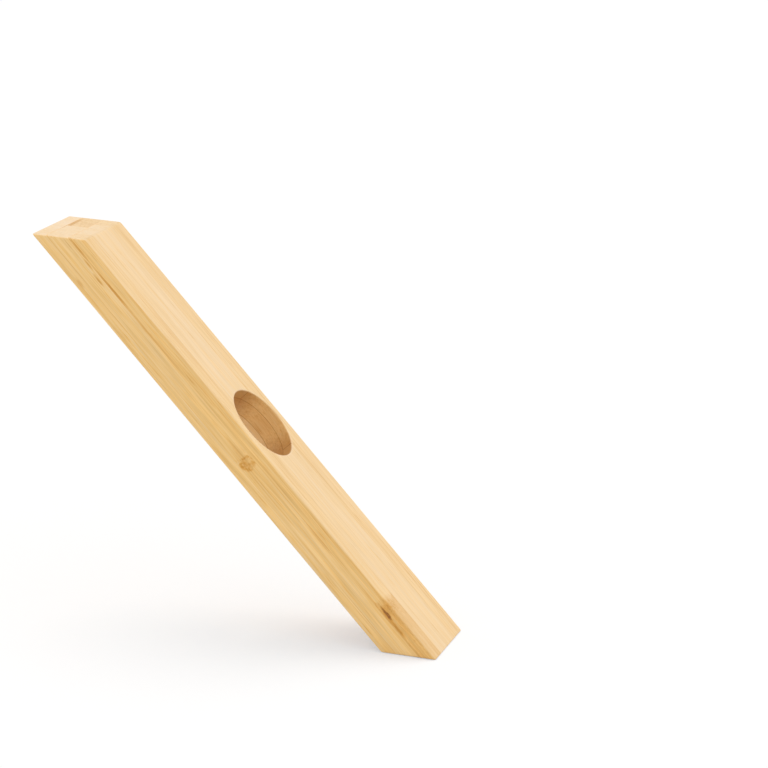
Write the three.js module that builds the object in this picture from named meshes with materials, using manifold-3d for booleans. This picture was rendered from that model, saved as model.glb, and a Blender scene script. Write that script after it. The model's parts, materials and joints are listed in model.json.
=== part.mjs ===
// Balancing wine bottle holder
// A board of laminated bamboo leans on its slanted foot, with a round hole through its middle. The weight of
// what hangs in the hole brings the balance over the foot.
// The board is three plies thick, and each ply is glued up from lengthwise strips. The hole is wider than a
// strip, so it cuts the middle strip of each outer ply in two.
// Lengths are in millimetres and angles in degrees. +Z is up, and the table is at z = 0. The origin is the
// middle of the foot. The board leans to -X, so that its face ply looks up and to +X. Left and right are as
// seen from there.

import * as THREE from 'three';
import { mergeVertices } from 'three/addons/utils/BufferGeometryUtils.js';
import Module from 'manifold-3d';

// Driving dimensions of the board
const boardLength = 260; // along the board, from tip to tip
const leanAngle = 45; // from the table up to the board, which both end cuts follow
const holeDiameter = 36;
const sideWall = 4.5; // bamboo left between the hole and each narrow edge
const edgeEase = 1; // how far before a corner its easing starts
const rimRadius = 0.8; // rounding of the hole's rims

// Driving dimensions of the plies and strips
const facePly = 5.4;
const corePly = 7;
const backPly = 5;
const stripWidth = 22.5; // a whole strip, as the middle ones are
const glueLine = 0.3;
const faceShift = -1.5; // from the board's middle line to the right, to the face ply's whole strip
const backShift = 3; // the same for the back ply's whole strip
const coreShift = 2; // the same for the one joint in the core

// Fineness of the round surfaces
const holeSides = 72;
const rimSteps = 2;
const easeSteps = 3;

// Sizes that follow from these
const boardWidth = holeDiameter + 2 * sideWall;
const boardThickness = facePly + corePly + backPly + 2 * glueLine;
const lean = THREE.MathUtils.degToRad(leanAngle);
const cutRun = boardThickness / Math.tan(lean); // along the board, from one end of an end cut to the other
const footDistance = (boardLength - cutRun) / 2; // from the middle of the board to the middle of its foot
const halfPitch = (stripWidth + glueLine) / 2;
const overrun = boardThickness / 4; // how far a cutting shape passes the surface that it cuts

const plies = [
  {
    name: 'back',
    strips: { left: '#e5bd80', middle: '#ecc994', right: '#e9c389' },
    joints: [backShift - halfPitch, backShift + halfPitch],
  },
  {
    name: 'core',
    strips: { left: '#e8c186', right: '#e2b77a' },
    joints: [coreShift],
  },
  {
    name: 'face',
    strips: { left: '#f3ce99', middle: '#f2d2a6', right: '#efcb9a' },
    joints: [faceShift - halfPitch, faceShift + halfPitch],
  },
];
const plyJoints = [
  (glueLine - boardThickness) / 2 + backPly,
  (boardThickness - glueLine) / 2 - facePly,
];

const wasm = await Module();
wasm.setup();

// Solids for cutting and joining, and back to geometry
function solidOf(geometry) {
  const bare = geometry.clone();
  bare.deleteAttribute('normal');
  bare.deleteAttribute('uv');
  const merged = mergeVertices(bare);
  const vertProperties = new Float32Array(merged.attributes.position.array);
  const triVerts = new Uint32Array(merged.index.array);
  return new wasm.Manifold(new wasm.Mesh({ numProp: 3, vertProperties, triVerts }));
}

function geometryOf(solid) {
  const { vertProperties, triVerts } = solid.getMesh();
  const geometry = new THREE.BufferGeometry();
  geometry.setAttribute('position', new THREE.BufferAttribute(vertProperties, 3));
  geometry.setIndex(new THREE.BufferAttribute(triVerts, 1));
  geometry.computeVertexNormals();
  return geometry;
}

// The board lies flat while it is made: X runs down it to the foot, Y across it and Z out of the face ply.

// A closed outline with each of its corners eased by a small curve
function easedOutline(corners) {
  const outline = new THREE.Shape();
  corners.forEach((corner, index) => {
    const before = corners.at(index - 1);
    const after = corners[(index + 1) % corners.length];
    const start = before.clone().sub(corner).setLength(edgeEase).add(corner);
    const end = after.clone().sub(corner).setLength(edgeEase).add(corner);
    if (index === 0) {
      outline.moveTo(start.x, start.y);
    } else {
      outline.lineTo(start.x, start.y);
    }
    outline.quadraticCurveTo(corner.x, corner.y, end.x, end.y);
  });
  outline.closePath();
  return outline;
}

function extruded(outline, depth) {
  const geometry = new THREE.ExtrudeGeometry(outline, {
    depth,
    bevelEnabled: false,
    curveSegments: easeSteps,
  });
  return geometry.translate(0, 0, -depth / 2);
}

// The board as its narrow edge shows it, with both ends cut level for the leaning board
function sideView() {
  const tip = boardLength / 2;
  const inner = tip - cutRun;
  const surface = boardThickness / 2;
  const outline = easedOutline([
    new THREE.Vector2(-tip, -surface),
    new THREE.Vector2(inner, -surface),
    new THREE.Vector2(tip, surface),
    new THREE.Vector2(-inner, surface),
  ]);
  return extruded(outline, boardWidth + 2 * overrun).rotateX(Math.PI / 2);
}

// The board's cross-section, with its four long edges eased
function crossSection() {
  const side = boardWidth / 2;
  const surface = boardThickness / 2;
  const outline = easedOutline([
    new THREE.Vector2(-side, -surface),
    new THREE.Vector2(side, -surface),
    new THREE.Vector2(side, surface),
    new THREE.Vector2(-side, surface),
  ]);
  const alongBoard = new THREE.Matrix4().makeBasis(
    new THREE.Vector3(0, 1, 0),
    new THREE.Vector3(0, 0, 1),
    new THREE.Vector3(1, 0, 0),
  );
  return extruded(outline, boardLength + 2 * overrun).applyMatrix4(alongBoard);
}

// What the round hole takes out, flared at both rims
function roundHole() {
  const surface = boardThickness / 2;
  const wall = holeDiameter / 2;
  const rim = wall + rimRadius;
  const profile = new THREE.Path();
  profile.moveTo(0, -surface - overrun);
  profile.lineTo(rim, -surface - overrun);
  profile.absarc(rim, rimRadius - surface, rimRadius, 1.5 * Math.PI, Math.PI, true);
  profile.absarc(rim, surface - rimRadius, rimRadius, Math.PI, 0.5 * Math.PI, true);
  profile.lineTo(rim, surface + overrun);
  profile.lineTo(0, surface + overrun);
  return new THREE.LatheGeometry(profile.getPoints(rimSteps), holeSides).rotateX(Math.PI / 2);
}

// The stretches of a width between its glue lines, the outer two of which run past its surfaces
function stretches(width, joints) {
  const lows = joints.map((joint) => joint + glueLine / 2);
  const highs = joints.map((joint) => joint - glueLine / 2);
  lows.unshift(-width / 2 - overrun);
  highs.push(width / 2 + overrun);
  return lows.map((low, index) => ({ middle: (low + highs[index]) / 2, size: highs[index] - low }));
}

// The pieces of one strip, from the top of the board down
function stripPieces(board, across, through) {
  const cell = new THREE.BoxGeometry(boardLength + 2 * overrun, across.size, through.size);
  cell.translate(0, across.middle, through.middle);
  const pieces = board.intersect(solidOf(cell)).decompose();
  return pieces.sort((one, other) => one.boundingBox().min[0] - other.boundingBox().min[0]);
}

function bamboo(color) {
  return new THREE.MeshStandardMaterial({ color, roughness: 0.45, metalness: 0 });
}

const blank = solidOf(sideView()).intersect(solidOf(crossSection()));
const board = blank.subtract(solidOf(roundHole()));
const levels = stretches(boardThickness, plyJoints);

const holder = new THREE.Group();
plies.forEach((ply, level) => {
  const widths = stretches(boardWidth, ply.joints);
  Object.entries(ply.strips).forEach(([side, color], place) => {
    const pieces = stripPieces(board, widths[place], levels[level]);
    pieces.forEach((piece, index) => {
      const strip = new THREE.Mesh(geometryOf(piece), bamboo(color));
      const part = pieces.length > 1 ? ['_upper', '_lower'][index] : '';
      strip.name = `${ply.name}_${side}_strip${part}`;
      holder.add(strip);
    });
  });
});
holder.rotation.y = lean;
holder.position.set(-footDistance * Math.cos(lean), 0, footDistance * Math.sin(lean));

export default holder;
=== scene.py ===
"""Looks of the balancing wine bottle holder: bamboo strips, glue lines, floor, light and camera."""
import json
import math
from collections import namedtuple

import bmesh
import bpy
from mathutils import Matrix, Vector


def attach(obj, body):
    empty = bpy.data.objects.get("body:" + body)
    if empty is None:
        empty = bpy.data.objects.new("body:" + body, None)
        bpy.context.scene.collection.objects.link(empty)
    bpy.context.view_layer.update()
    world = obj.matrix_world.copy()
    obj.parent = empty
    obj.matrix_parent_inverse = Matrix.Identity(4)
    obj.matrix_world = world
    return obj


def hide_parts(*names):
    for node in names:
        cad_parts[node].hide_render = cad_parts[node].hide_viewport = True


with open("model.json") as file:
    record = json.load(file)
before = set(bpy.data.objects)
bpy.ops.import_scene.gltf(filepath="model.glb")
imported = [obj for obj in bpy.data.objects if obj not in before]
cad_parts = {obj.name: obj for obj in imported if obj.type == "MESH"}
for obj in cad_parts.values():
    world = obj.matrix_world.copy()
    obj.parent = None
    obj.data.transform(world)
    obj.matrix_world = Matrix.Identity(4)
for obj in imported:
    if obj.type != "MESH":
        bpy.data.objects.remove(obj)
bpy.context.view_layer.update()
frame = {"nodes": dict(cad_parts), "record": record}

MM = 0.001

# Sizes of the finished surfaces, in metres
RIM_RADIUS = 0.8 * MM
EDGE_EASE = 1 * MM
OVERRUN = 4 * MM  # how far a cutting shape passes the surface that it cuts

# Fineness of the round surfaces
HOLE_SIDES = 192
RIM_STEPS = 6
EASE_STEPS = 5
ROUND_PROFILE = 0.5  # the bevel's setting for a round easing
SMOOTH_ANGLE = math.radians(40)

# The board's own frame: X runs down the board to its foot, Y across it and Z out of its face ply
MOUNTS = {mount["name"]: Vector(mount["pos_m"]) for mount in frame["record"]["mounts"]}
DOWN_BOARD = (MOUNTS["foot"] - MOUNTS["top_end"]).normalized()
ACROSS = Vector((0, 1, 0))
OUTWARD = DOWN_BOARD.cross(ACROSS)
MIDDLE = (MOUNTS["foot"] + MOUNTS["top_end"]) / 2
BOARD = Matrix.Translation(MIDDLE) @ Matrix((DOWN_BOARD, ACROSS, OUTWARD)).transposed().to_4x4()


def board_points(*prefixes):
    """Corners, in the board's frame, of the CAD nodes whose names start with one of these words."""
    to_board = BOARD.inverted()
    nodes = [node for name, node in frame["nodes"].items() if name.startswith(prefixes)]
    return [to_board @ vertex.co for node in nodes for vertex in node.data.vertices]


def board_box(*prefixes):
    """Lowest and highest corner, in the board's frame, of the CAD nodes that these words begin."""
    points = board_points(*prefixes)
    low = Vector(min(point[axis] for point in points) for axis in range(3))
    high = Vector(max(point[axis] for point in points) for axis in range(3))
    return low, high


# Solids that the pieces are carved with


def mesh_of(shape, name):
    """A mesh with its faces pointing out."""
    bmesh.ops.recalc_face_normals(shape, faces=shape.faces)
    mesh = bpy.data.meshes.new(name)
    shape.to_mesh(mesh)
    shape.free()
    return mesh


def prism(corners, low_y, high_y):
    """A solid between two widths of the board, with these (x, z) corners."""
    shape = bmesh.new()
    near = [shape.verts.new((x, low_y, z)) for x, z in corners]
    far = [shape.verts.new((x, high_y, z)) for x, z in corners]
    shape.faces.new(near)
    shape.faces.new(far)
    for index in range(len(corners)):
        after = (index + 1) % len(corners)
        shape.faces.new((near[index], near[after], far[after], far[index]))
    return shape


def turned(profile):
    """A solid turned around the Z axis, with this (radius, height) profile."""
    shape = bmesh.new()
    turns = [2 * math.pi * side / HOLE_SIDES for side in range(HOLE_SIDES)]
    rings = []
    for radius, height in profile:
        places = [(radius * math.cos(turn), radius * math.sin(turn), height) for turn in turns]
        rings.append([shape.verts.new(place) for place in places])
    for lower, upper in zip(rings, rings[1:]):
        for side in range(HOLE_SIDES):
            after = (side + 1) % HOLE_SIDES
            shape.faces.new((lower[side], lower[after], upper[after], upper[side]))
    shape.faces.new(rings[0])
    shape.faces.new(rings[-1])
    return shape


def blank_mesh(low, high):
    """The board with its level ends and eased edges, before the hole."""
    foot = (MOUNTS["foot"] - MIDDLE).length
    run = high.z * DOWN_BOARD.x / -DOWN_BOARD.z
    corners = [
        (-foot - run, low.z),
        (foot - run, low.z),
        (foot + run, high.z),
        (-foot + run, high.z),
    ]
    shape = prism(corners, low.y, high.y)
    bmesh.ops.bevel(
        shape,
        geom=list(shape.edges),
        offset=EDGE_EASE,
        segments=EASE_STEPS,
        profile=ROUND_PROFILE,
        affect="EDGES",
        clamp_overlap=True,
    )
    return mesh_of(shape, "blank")


def hole_mesh(wall, surface):
    """What the round hole takes out, with rounded rims. wall is its radius."""
    profile = [(wall + RIM_RADIUS, -surface - OVERRUN)]
    for step in range(RIM_STEPS + 1):
        turn = math.pi / 2 * step / RIM_STEPS
        flare = RIM_RADIUS * (1 - math.sin(turn))
        profile.append((wall + flare, -surface + RIM_RADIUS * (1 - math.cos(turn))))
    profile += [(radius, -height) for radius, height in reversed(profile)]
    return mesh_of(turned(profile), "hole")


def cell_mesh(low, high):
    """A block between two corners."""
    corners = [(low.x, low.z), (high.x, low.z), (high.x, high.z), (low.x, high.z)]
    return mesh_of(prism(corners, low.y, high.y), "cell")


def combined(mesh, tool, operation):
    """One mesh cut by another."""
    target = bpy.data.objects.new("target", mesh)
    cutter = bpy.data.objects.new("cutter", tool)
    for item in (target, cutter):
        bpy.context.scene.collection.objects.link(item)
    modifier = target.modifiers.new("cut", "BOOLEAN")
    modifier.operation = operation
    modifier.solver = "EXACT"
    modifier.object = cutter
    bpy.context.view_layer.update()
    graph = bpy.context.evaluated_depsgraph_get()
    result = bpy.data.meshes.new_from_object(target.evaluated_get(graph))
    for item in (target, cutter):
        bpy.data.objects.remove(item)
    return result


BOARD_LOW, BOARD_HIGH = board_box("")
HOLE_RADIUS = min(point.xy.length for point in board_points(""))
BOARD_MESH = combined(blank_mesh(BOARD_LOW, BOARD_HIGH), hole_mesh(HOLE_RADIUS, BOARD_HIGH.z), "DIFFERENCE")


def carved(name, low, high, material):
    """A piece of the board between two corners, in the board's frame, set up in its leaning place."""
    mesh = combined(BOARD_MESH.copy(), cell_mesh(low, high), "INTERSECT")
    mesh.name = name
    mesh.materials.clear()
    mesh.materials.append(material)
    mesh.transform(BOARD)
    mesh.shade_smooth()
    mesh.set_sharp_from_angle(angle=SMOOTH_ANGLE)
    piece = bpy.data.objects.new(name, mesh)
    bpy.context.scene.collection.objects.link(piece)
    normals = piece.modifiers.new("even_shading", "WEIGHTED_NORMAL")
    normals.keep_sharp = True
    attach(piece, "root")
    return piece


# Materials


def srgb(red, green, blue):
    """A colour of the screen, from 0 to 255, as the shader's linear colour."""
    shares = [channel / 255 for channel in (red, green, blue)]
    linear = [share / 12.92 if share <= 0.04045 else ((share + 0.055) / 1.055) ** 2.4 for share in shares]
    return (*linear, 1)


NOISE_MEAN = 0.5


class Shader:
    """One procedural material, with short forms for the nodes that it uses."""

    def __init__(self, name):
        self.material = bpy.data.materials.new(name)
        self.material.use_nodes = True
        self.nodes = self.material.node_tree.nodes
        self.links = self.material.node_tree.links
        self.surface = self.nodes["Principled BSDF"]
        self.coordinates = self.add("TexCoord")

    def add(self, kind, **settings):
        """A new node of this kind, without the start of its type's name."""
        node = self.nodes.new("ShaderNode" + kind)
        for key, value in settings.items():
            setattr(node, key, value)
        return node

    def feed(self, socket, value):
        """Links another node's output to a socket, or sets a constant on it."""
        if isinstance(value, bpy.types.NodeSocket):
            self.links.new(value, socket)
        else:
            socket.default_value = value

    def set(self, name, value):
        """Feeds one of the surface's own sockets."""
        self.feed(self.surface.inputs[name], value)

    def place(self):
        """Where a point of the surface is in the board's frame, in millimetres."""
        node = self.add("Mapping", vector_type="TEXTURE")
        self.feed(node.inputs["Vector"], self.coordinates.outputs["Object"])
        node.inputs["Location"].default_value = MIDDLE
        node.inputs["Rotation"].default_value = BOARD.to_euler()
        node.inputs["Scale"].default_value = (MM, MM, MM)
        return node.outputs["Vector"]

    def math(self, operation, *values, clamp=False):
        node = self.add("Math", operation=operation, use_clamp=clamp)
        for socket, value in zip(node.inputs, values):
            self.feed(socket, value)
        return node.outputs["Value"]

    def vector(self, operation, *values):
        node = self.add("VectorMath", operation=operation)
        for socket, value in zip(node.inputs, values):
            self.feed(socket, value)
        return node.outputs["Value" if operation == "LENGTH" else "Vector"]

    def scaled(self, vector, factor):
        node = self.add("VectorMath", operation="SCALE")
        self.feed(node.inputs["Vector"], vector)
        self.feed(node.inputs["Scale"], factor)
        return node.outputs["Vector"]

    def split(self, vector):
        node = self.add("SeparateXYZ")
        self.feed(node.inputs["Vector"], vector)
        return node.outputs

    def step(self, value, low, high):
        """A soft step from 0 at low to 1 at high."""
        node = self.add("MapRange", interpolation_type="SMOOTHSTEP")
        self.feed(node.inputs["Value"], value)
        node.inputs["From Min"].default_value = low
        node.inputs["From Max"].default_value = high
        return node.outputs["Result"]

    def mix(self, factor, first, second, blend="MIX"):
        """Two colours mixed. The node has such sockets for each type of data, so they go by number."""
        node = self.add("Mix", data_type="RGBA", blend_type=blend)
        self.feed(node.inputs[0], factor)
        self.feed(node.inputs[6], first)
        self.feed(node.inputs[7], second)
        return node.outputs[2]

    def tinted(self, colour, tint, share=1.0):
        """A colour as a clear stain leaves it."""
        return self.mix(share, colour, tint, "MULTIPLY")

    def ramp(self, value, first, middle, last):
        """A colour that runs from the first at 0 through the middle one to the last at 1."""
        node = self.add("ValToRGB")
        self.feed(node.inputs["Fac"], value)
        stops = node.color_ramp.elements
        stops[0].color = first
        stops[1].color = last
        stops.new(0.5).color = middle
        return node.outputs["Color"]

    def texture(self, kind, place, size):
        """A pattern of this size along the three axes."""
        node = self.add(kind)
        self.feed(node.inputs["Vector"], self.vector("DIVIDE", place, size))
        node.inputs["Scale"].default_value = 1
        return node.outputs

    def noise(self, place, size):
        """Smooth noise from 0 to 1."""
        return self.texture("TexNoise", place, size)["Fac"]

    def drift(self, place, size):
        """A smooth random vector around zero."""
        return self.vector("SUBTRACT", self.texture("TexNoise", place, size)["Color"], [NOISE_MEAN] * 3)

    def cells(self, place, size):
        """Distance to the nearest of many scattered points, as a share of their spacing."""
        return self.texture("TexVoronoi", place, size)["Distance"]


# Bamboo. Places and sizes on it are in millimetres, in the board's frame.

PALE = srgb(251, 221, 181)
GOLDEN = srgb(248, 209, 148)
DEEP = srgb(226, 173, 96)

# What the narrow edges, the level ends, the hole's wall with its painted shade, and stains leave of that
# colour
EDGE_TINT = (0.985, 0.91, 0.68, 1)
END_TINT = (0.93, 0.95, 1, 1)
# The hole's wall is darker partly for its drilled tone and partly as painted shade in the hole
WALL_TINT_AND_SHADE = (0.87, 0.77, 0.6, 1)
# The end grain on the hole's wall is darker still, partly its own tone and partly painted shade that makes
# the bore look round
END_GRAIN_TINT_AND_SHADE = (0.62, 0.5, 0.36, 1)
CLEAN = (1, 1, 1, 1)
AMBER = (0.79, 0.61, 0.28, 1)
DARK = (0.33, 0.17, 0.04, 1)

# How far the long corners and the hole's rims are made paler: partly wear that sanding left, partly a
# painted highlight where their rounding catches the light
CORNER_WEAR_AND_HIGHLIGHT = 0.15
RIM_WEAR_AND_HIGHLIGHT = 0.4

# Where a look sets in and where it is full: in millimetres from the board's middle line or the hole's axis,
# or by the share of the surface's direction that points sideways, up or along the board
HALF_WIDTH = BOARD_HIGH.y / MM
HOLE_WALL = HOLE_RADIUS / MM
HOLE_RIM = RIM_RADIUS / MM
OUTER_BAND = (HALF_WIDTH - 2.5, HALF_WIDTH - 0.5)
WALL_BAND = (HOLE_WALL + 0.6 * HOLE_RIM, HOLE_WALL)
RIM_BAND = (HOLE_WALL + 1.3 * HOLE_RIM, HOLE_WALL + 0.8 * HOLE_RIM)
EDGE_SIDEWAYS = (0.4, 0.9)
CORNER_SIDEWAYS = (0.1, 0.4)
FLAT_SIDEWAYS = (0.98, 0.8)
END_UPWARD = (0.8, 0.95)
END_GRAIN_LENGTHWISE = (0.3, 0.95)

# Size of the streaks in the grain and how far they change its tone, from the widest to the finest
GRAIN = (
    ((70, 6, 6), 0.45),
    ((110, 1.7, 1.7), 0.5),
    ((32, 0.65, 0.65), 0.75),
    ((15, 0.2, 0.2), 0.6),
)
EDGE_CONTRAST = 0.6  # how much stronger the grain is on the narrow edges

# Size of the streaks that only change the brightness, how far they do, and how much more on the narrow edges
FIGURE_SIZE = (30, 1.1, 1.1)
FIGURE = 0.2
EDGE_FIGURE = 1.2

# Spacing of the fibre bundles and of short ticks, how far each reaches and how far they change the tone
BUNDLE_SPACING = (150, 1.1, 1.1)
BUNDLE_REACH = (0.34, 0.1)
BUNDLE_TONE = 0.14
TICK_SPACING = (22, 1.3, 1.3)
TICK_REACH = (0.2, 0.08)
TICK_TONE = 0.35

# How the grain strays from a straight line, and the place of each strip in the pattern
SHIFT = (311.0, 17.3, 7.9)
WANDER_SIZE = (55, 9, 9)
WANDER = (0, 1.6, 1.6)
SWIRL_SIZE = (3, 2, 2)

# The ragged start of a culm node, and how far it swirls the grain
KNOT_RISE = (-2.0, 2.0)
KNOT_FRAY = 4.0
KNOT_WAVE_SIZE = (9, 5, 5)
KNOT_WAVE = 12.0
KNOT_SWIRL = 2.0

# Outline, hollow and pale specks of a blot, and the fibres that a stain follows
BLOT_SWIRL = 0.6
HOLLOW_REACH = (0.8, 0.3)
SPECK_SIZE = (1.3, 1.3, 1.3)
SPECK_LEVEL = (0.42, 0.62)
FIBRE_SIZE = (9, 0.7, 0.7)
FIBRE_GAIN = 1.2
FIBRE_LEAST = 0.4

# The satin finish
ROUGHNESS = 0.34
ROUGHNESS_CHANGE = 0.2
SPECULAR_LEVEL = 0.45
BUMP_STRENGTH = 0.25
BUMP_HEIGHT = 0.05 * MM
BUNDLE_SINK = -0.5

# A blot is a stained spot with its middle and its half sizes. It has its full strength inside a share of
# them, and may be hollow or have pale specks.
Blot = namedtuple("Blot", "middle halves strength full hollow specks", defaults=(0.2, 0.0, 0.0))

# A knot is a node of the culm, which crosses its strip at start and fades towards the foot.
Knot = namedtuple("Knot", "start fade strength")

# The depth of a strip is its mean tone, from 0 for pale to 1 for deep.
Strip = namedtuple("Strip", "depth knots blots", defaults=((), ()))


def outer_mask(shader, place):
    """1 by the narrow edges of the board and 0 between them."""
    return shader.step(shader.math("ABSOLUTE", shader.split(place)["Y"]), *OUTER_BAND)


def cut_masks(shader, place):
    """Masks of the narrow edges, of their long corners and of the level ends."""
    normal = shader.split(shader.coordinates.outputs["Normal"])
    sideways = shader.math("ABSOLUTE", normal["Y"])
    outer = outer_mask(shader, place)
    edge = shader.math("MULTIPLY", outer, shader.step(sideways, *EDGE_SIDEWAYS))
    corner = shader.math("MULTIPLY", outer, shader.step(sideways, *CORNER_SIDEWAYS))
    corner = shader.math("MULTIPLY", corner, shader.step(sideways, *FLAT_SIDEWAYS))
    end = shader.step(shader.math("ABSOLUTE", normal["Z"]), *END_UPWARD)
    return edge, corner, end


def hole_masks(shader, place):
    """Masks of the hole's wall, of the end grain on that wall and of the outer part of its rims."""
    radius = shader.vector("LENGTH", shader.vector("MULTIPLY", place, (1, 1, 0)))
    wall = shader.step(radius, *WALL_BAND)
    lengthwise = shader.math("ABSOLUTE", shader.math("DIVIDE", shader.split(place)["X"], radius))
    end_grain = shader.math("MULTIPLY", wall, shader.step(lengthwise, *END_GRAIN_LENGTHWISE))
    rim = shader.math("SUBTRACT", shader.step(radius, *RIM_BAND), wall, clamp=True)
    return wall, end_grain, rim


def knot_mask(shader, place, own, swirl, knot):
    """1 where a knot starts, fading towards the foot, and 0 before it."""
    past = shader.math("SUBTRACT", shader.split(place)["X"], knot.start)
    past = shader.math("MULTIPLY_ADD", shader.split(swirl)["Y"], KNOT_FRAY, past)
    wave = shader.split(shader.drift(own, KNOT_WAVE_SIZE))["X"]
    past = shader.math("MULTIPLY_ADD", wave, KNOT_WAVE, past)
    fall = shader.math("EXPONENT", shader.math("MULTIPLY", past, -1 / knot.fade))
    return shader.math("MULTIPLY", shader.step(past, *KNOT_RISE), shader.math("MINIMUM", fall, 1.0))


def blot_mask(shader, place, swirl, blot):
    """The strength of a blot inside it, less what its hollow and specks take, and 0 outside."""
    reach = shader.vector("DIVIDE", shader.vector("SUBTRACT", place, blot.middle), blot.halves)
    reach = shader.vector("LENGTH", shader.vector("ADD", reach, shader.scaled(swirl, BLOT_SWIRL)))
    spot = shader.step(reach, 1.0, blot.full)
    spot = shader.math("MULTIPLY_ADD", shader.step(reach, *HOLLOW_REACH), -blot.hollow, spot)
    specks = shader.step(shader.noise(place, SPECK_SIZE), *SPECK_LEVEL)
    spot = shader.math("MULTIPLY", spot, shader.math("MULTIPLY_ADD", specks, -blot.specks, 1.0))
    return shader.math("MULTIPLY", spot, blot.strength, clamp=True)


def stained(shader, colour, amount):
    """A colour under a brown stain, which is dark where the amount is 1."""
    return shader.tinted(colour, shader.ramp(amount, CLEAN, AMBER, DARK))


def grain(shader, bent, edge, depth):
    """Tone of the bamboo around its depth, with its finest streaks and its fibre bundles."""
    change = -NOISE_MEAN * sum(strength for size, strength in GRAIN)
    for size, strength in GRAIN:
        streaks = shader.noise(bent, size)
        change = shader.math("MULTIPLY_ADD", streaks, strength, change)
    contrast = shader.math("MULTIPLY_ADD", edge, EDGE_CONTRAST, 1.0)
    tone = shader.math("MULTIPLY_ADD", change, contrast, depth)
    bundles = shader.step(shader.cells(bent, BUNDLE_SPACING), *BUNDLE_REACH)
    tone = shader.math("MULTIPLY_ADD", bundles, BUNDLE_TONE, tone)
    ticks = shader.step(shader.cells(bent, TICK_SPACING), *TICK_REACH)
    tone = shader.math("MULTIPLY_ADD", ticks, TICK_TONE, tone)
    return tone, streaks, bundles


def figured(shader, colour, bent, edge):
    """The bamboo's colour with brighter and duller streaks."""
    figure = shader.math("MULTIPLY_ADD", shader.noise(bent, FIGURE_SIZE), FIGURE, -NOISE_MEAN * FIGURE)
    figure = shader.math("MULTIPLY", figure, shader.math("MULTIPLY_ADD", edge, EDGE_FIGURE, 1.0))
    return shader.tinted(colour, shader.math("ADD", figure, 1.0))


def worked(shader, colour, place, edge, corner, end):
    """The bamboo's colour as sawing, drilling and sanding leave it, with painted shade in the hole and a
    painted highlight, partly wear, on the long corners and the hole's rims.
    """
    wall, end_grain, rim = hole_masks(shader, place)
    tints = ((EDGE_TINT, edge), (END_TINT, end), (WALL_TINT_AND_SHADE, wall), (END_GRAIN_TINT_AND_SHADE, end_grain))
    for tint, share in tints:
        colour = shader.tinted(colour, tint, share)
    # Painted highlight, partly wear: the long corners and the hole's rims are mixed towards the pale colour
    for mask, wear_and_highlight in ((corner, CORNER_WEAR_AND_HIGHLIGHT), (rim, RIM_WEAR_AND_HIGHLIGHT)):
        colour = shader.mix(shader.math("MULTIPLY", mask, wear_and_highlight), colour, PALE)
    return colour


def satin(shader, streaks, bundles):
    """A clear satin finish over fibres that can be felt."""
    shader.set("Roughness", shader.math("MULTIPLY_ADD", streaks, ROUGHNESS_CHANGE, ROUGHNESS))
    shader.set("Specular IOR Level", SPECULAR_LEVEL)
    bump = shader.add("Bump")
    bump.inputs["Strength"].default_value = BUMP_STRENGTH
    bump.inputs["Distance"].default_value = BUMP_HEIGHT
    shader.feed(bump.inputs["Height"], shader.math("MULTIPLY_ADD", bundles, BUNDLE_SINK, streaks))
    shader.set("Normal", bump.outputs["Normal"])


def bamboo(name, seed, strip):
    """The bamboo of one strip, with a seed that sets its pattern apart."""
    shader = Shader(name)
    place = shader.place()
    own = shader.vector("ADD", place, [seed * shift for shift in SHIFT])
    swirl = shader.drift(own, SWIRL_SIZE)
    wander = shader.vector("MULTIPLY", shader.drift(own, WANDER_SIZE), WANDER)
    bent = shader.vector("ADD", own, wander)
    stain = 0.0
    for knot in strip.knots:
        marked = knot_mask(shader, place, own, swirl, knot)
        turn = shader.scaled(swirl, shader.math("MULTIPLY", marked, KNOT_SWIRL))
        bent = shader.vector("ADD", bent, turn)
        stain = shader.math("MULTIPLY_ADD", marked, knot.strength, stain)
    for blot in strip.blots:
        stain = shader.math("MAXIMUM", stain, blot_mask(shader, place, swirl, blot))
    fibrous = shader.math("MULTIPLY_ADD", shader.noise(bent, FIBRE_SIZE), FIBRE_GAIN, FIBRE_LEAST)
    edge, corner, end = cut_masks(shader, place)
    tone, streaks, bundles = grain(shader, bent, edge, strip.depth)
    colour = figured(shader, shader.ramp(tone, PALE, GOLDEN, DEEP), bent, edge)
    colour = worked(shader, colour, place, edge, corner, end)
    shader.set("Base Color", stained(shader, colour, shader.math("MULTIPLY", stain, fibrous)))
    satin(shader, streaks, bundles)
    return shader.material


# Strips, each of which stands for the CAD nodes that the hole leaves of it

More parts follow.
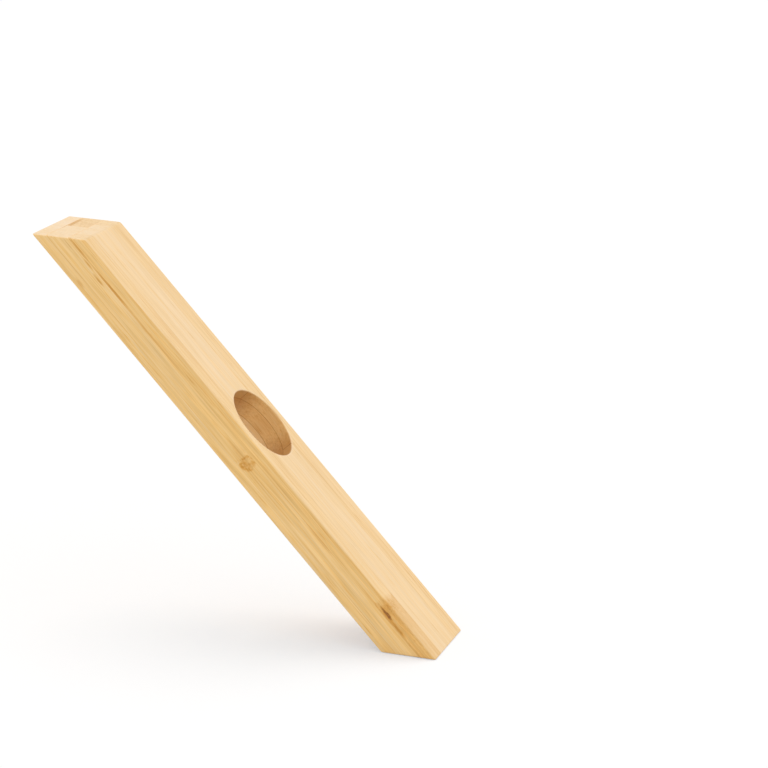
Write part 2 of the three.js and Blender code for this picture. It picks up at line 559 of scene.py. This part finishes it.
NEAR = -HALF_WIDTH  # where the narrow edge is that faces the camera
STRIPS = {
    "face_left": Strip(
        depth=0.5,
        knots=[Knot(95, 30, 0.3)],
        blots=[
            Blot((100.5, NEAR, 5.1), (6.5, 2, 1.5), 0.95),
            Blot((107, NEAR, 4.6), (11, 2, 1.1), 0.6),
            Blot((99, -20, 8), (7, 8, 6), 0.45, specks=0.4),
            Blot((108, -18, 9), (14, 8, 4), 0.2),
            Blot((-54, NEAR, 3.9), (24, 2, 0.6), 0.33),
            Blot((-87, NEAR, 3.9), (17, 2, 0.6), 0.5),
            Blot((-111, NEAR, 4), (9, 2, 0.5), 0.5),
        ],
    ),
    "face_middle": Strip(depth=0.32),
    "face_right": Strip(depth=0.5),
    "core_left": Strip(
        depth=0.3,
        knots=[Knot(6.5, 5, 0.15)],
        blots=[
            Blot((9.8, NEAR, 0.2), (4.6, 3, 4.8), 0.56, full=0.6, hollow=0.3, specks=0.6),
            Blot((11.2, NEAR, 2.2), (2.4, 2, 1.8), 0.42),
            Blot((9.6, NEAR, -2.8), (2.6, 2, 1.3), 0.4),
            Blot((4.5, NEAR, 1), (7, 2, 3.5), 0.14),
            Blot((-94.5, NEAR, 1.6), (5, 1, 0.7), 0.65),
            Blot((-103, NEAR, 2.7), (4.5, 1, 0.6), 0.42),
            Blot((-115, NEAR, 1.4), (5, 1, 0.3), 0.4),
            Blot((56, NEAR, 3), (12, 2, 0.7), 0.25),
        ],
    ),
    "core_right": Strip(
        depth=0.62,
        knots=[Knot(-34, 8, 0.3)],
        blots=[Blot((-124.3, 7, -3.3), (6, 15, 1), 0.45, full=0.5)],
    ),
    "back_left": Strip(depth=0.32, blots=[Blot((-99, NEAR, -6.2), (4, 1.2, 1), 0.35)]),
    "back_middle": Strip(depth=0.18, knots=[Knot(-66, 7, 0.22)]),
    "back_right": Strip(depth=0.3, knots=[Knot(42, 8, 0.22)]),
}

ALONG_MARGIN = Vector((OVERRUN, 0, 0))
for seed, (name, strip) in enumerate(STRIPS.items(), start=1):
    material = bamboo(f"{name}_bamboo", seed, strip)
    slot = name.split("_")[0] + "_bamboo"
    for node in sorted(frame["nodes"]):
        if node.startswith(name):
            low, high = board_box(node)
            piece = carved(f"{node}_bamboo", low - ALONG_MARGIN, high + ALONG_MARGIN, material)
            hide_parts(node)


# Glue lines, which fill the gaps between the strips

GLUE_SHIFT = (97.0, 5.1, 3.3)
GLUE_SWIRL_SIZE = (6, 2, 2)
GLUE_CLOUD_SIZE = (30, 3, 3)
GLUE_ROUGHNESS = 0.45

# How far the glue is darkened: by dust all over, and on the hole's wall by painted shade, more where that
# wall has end grain
GLUE_DUST = 0.2
WALL_GLUE_SHADE = 0.6
END_GRAIN_GLUE_SHADE = 0.3


def glue(name, seed, blots=()):
    """A cured glue line: the bamboo's colour a little deeper, dark where it took up dust, and darker on the
    hole's wall with painted shade.
    """
    shader = Shader(name)
    place = shader.place()
    own = shader.vector("ADD", place, [seed * shift for shift in GLUE_SHIFT])
    swirl = shader.drift(own, GLUE_SWIRL_SIZE)
    cloud = shader.noise(own, GLUE_CLOUD_SIZE)
    colour = shader.ramp(cloud, PALE, GOLDEN, DEEP)
    colour = shader.tinted(colour, EDGE_TINT, outer_mask(shader, place))
    wall, end_grain, _ = hole_masks(shader, place)
    stain = shader.math("MULTIPLY", cloud, GLUE_DUST)
    # Painted shade: the glue on the hole's wall is darkened like the bamboo there
    stain = shader.math("MULTIPLY_ADD", wall, WALL_GLUE_SHADE, stain)
    stain = shader.math("MULTIPLY_ADD", end_grain, END_GRAIN_GLUE_SHADE, stain)
    for blot in blots:
        stain = shader.math("MAXIMUM", stain, blot_mask(shader, place, swirl, blot))
    shader.set("Base Color", stained(shader, colour, stain))
    shader.set("Roughness", GLUE_ROUGHNESS)
    return shader.material


OUTER_LOW = BOARD_LOW - Vector((OVERRUN, OVERRUN, OVERRUN))
OUTER_HIGH = BOARD_HIGH + Vector((OVERRUN, OVERRUN, OVERRUN))
PLY_GLUE = {
    ("back", "core"): glue("back_glue", 1, [Blot((-125, 7, -4), (8, 15, 2), 0.5, full=0.5)]),
    ("core", "face"): glue(
        "face_glue",
        2,
        [
            Blot((-54, NEAR, 3.5), (24, 6, 2), 0.36),
            Blot((-88, NEAR, 3.5), (18, 6, 2), 0.55),
            Blot((-110, NEAR, 3.5), (11, 3, 2), 0.5),
            Blot((56, NEAR, 3.5), (14, 3, 2), 0.35),
        ],
    ),
}
for (lower, upper), material in PLY_GLUE.items():
    low = Vector((OUTER_LOW.x, OUTER_LOW.y, board_box(lower)[1].z))
    high = Vector((OUTER_HIGH.x, OUTER_HIGH.y, board_box(upper)[0].z))
    carved(f"{lower}_{upper}_glue_line", low, high, material)

STRIP_JOINTS = (
    ("back_left", "back_middle"),
    ("back_middle", "back_right"),
    ("core_left", "core_right"),
    ("face_left", "face_middle"),
    ("face_middle", "face_right"),
)
for seed, (left, right) in enumerate(STRIP_JOINTS, start=1 + len(PLY_GLUE)):
    ply = left.split("_")[0]
    low = Vector((OUTER_LOW.x, board_box(left)[1].y, board_box(ply)[0].z))
    high = Vector((OUTER_HIGH.x, board_box(right)[0].y, board_box(ply)[1].z))
    carved(f"{left}_glue_line", low, high, glue(f"{left}_glue", seed))


# Floor

FLOOR_HALF = 20
FLOOR_GAP = 0.05 * MM
FLOOR_ROUGHNESS = 0.9
FLOOR_LIT = (0.8, 0.8, 0.8, 1)  # the floor's colour for the light that it throws back

# How the camera sees the floor. A glow lifts the open floor to white, and these colours make up for most of
# the warm tint that the bamboo throws into its shadow.
FLOOR_SEEN = (0.75, 0.66, 0.58, 1)
OPEN_LIGHT = 1.02  # a little under what reaches the open floor
FLOOR_GLOW = [1 - OPEN_LIGHT * share for share in FLOOR_SEEN[:3]]


def seen_mask(shader):
    """1 for the rays by which the camera and shiny surfaces see a thing, and 0 for those that light it."""
    path = shader.add("LightPath")
    seen = path.outputs["Is Camera Ray"]
    for ray in ("Is Glossy Ray", "Is Transmission Ray"):
        seen = shader.math("MAXIMUM", seen, path.outputs[ray])
    return seen


def make_floor():
    """A wide pale floor just under the holder."""
    shader = Shader("floor_white")
    seen = seen_mask(shader)
    shader.set("Base Color", shader.mix(seen, FLOOR_LIT, FLOOR_SEEN))
    shader.set("Emission Color", (*FLOOR_GLOW, 1))
    shader.set("Emission Strength", seen)
    shader.set("Roughness", FLOOR_ROUGHNESS)
    shader.set("Specular IOR Level", 0.0)
    shape = bmesh.new()
    bmesh.ops.create_grid(shape, x_segments=1, y_segments=1, size=FLOOR_HALF)
    mesh = mesh_of(shape, "floor")
    mesh.materials.append(shader.material)
    floor = bpy.data.objects.new("floor", mesh)
    floor.location.z = -FLOOR_GAP
    bpy.context.scene.collection.objects.link(floor)


# Light. The key casts the shadow, and the fill from the right is so soft that it casts nearly none.

AMBIENT = 0.76
Sun = namedtuple("Sun", "name strength direction softness")
SUNS = (
    Sun("key", 0.24, Vector((-0.32, 0.3, 0.88)), 32),
    Sun("fill", 0.12, Vector((0.8, -0.35, 0.5)), 120),
)


def make_world():
    """A white surrounding that gives the ambient light."""
    world = bpy.data.worlds.new("studio")
    world.use_nodes = True
    nodes = world.node_tree.nodes
    links = world.node_tree.links
    sky = nodes["Background"]
    sky.inputs["Color"].default_value = (1, 1, 1, 1)
    path = nodes.new("ShaderNodeLightPath")
    lit = nodes.new("ShaderNodeMapRange")
    links.new(path.outputs["Is Diffuse Ray"], lit.inputs["Value"])
    lit.inputs["To Min"].default_value = 1
    lit.inputs["To Max"].default_value = AMBIENT
    links.new(lit.outputs["Result"], sky.inputs["Strength"])
    bpy.context.scene.world = world


def make_sun(sun):
    """A lamp that shines from its direction, as wide as its softness in degrees."""
    lamp = bpy.data.lights.new(sun.name, "SUN")
    lamp.energy = sun.strength * math.pi
    lamp.angle = math.radians(sun.softness)
    light = bpy.data.objects.new(sun.name, lamp)
    bpy.context.scene.collection.objects.link(light)
    light.rotation_euler = sun.direction.to_track_quat("Z", "Y").to_euler()


# The photograph's camera

SENSOR_MM = 36
LENS_MM = 148.85
CAMERA_PLACE = Vector((0.33597, -1.30888, 0.46478))
CAMERA_AZIMUTH = math.radians(15.385)
CAMERA_ELEVATION = math.radians(14.393)
CAMERA_ROLL = math.radians(3.113)


def make_camera():
    """The camera that sees the holder as the photograph does."""
    data = bpy.data.cameras.new("camera")
    data.lens = LENS_MM
    data.sensor_width = SENSOR_MM
    camera = bpy.data.objects.new("camera", data)
    bpy.context.scene.collection.objects.link(camera)
    level = Vector((math.cos(CAMERA_AZIMUTH), math.sin(CAMERA_AZIMUTH), 0))
    reach = math.cos(CAMERA_ELEVATION)
    ahead = Vector((-level.y * reach, level.x * reach, -math.sin(CAMERA_ELEVATION)))
    upright = level.cross(ahead)
    right = level * math.cos(CAMERA_ROLL) + upright * math.sin(CAMERA_ROLL)
    up = upright * math.cos(CAMERA_ROLL) - level * math.sin(CAMERA_ROLL)
    turn = Matrix((right, up, -ahead)).transposed().to_4x4()
    camera.matrix_world = Matrix.Translation(CAMERA_PLACE) @ turn
    bpy.context.scene.camera = camera


make_floor()
make_world()
for sun in SUNS:
    make_sun(sun)
make_camera()
bpy.context.scene.view_settings.view_transform = "Standard"
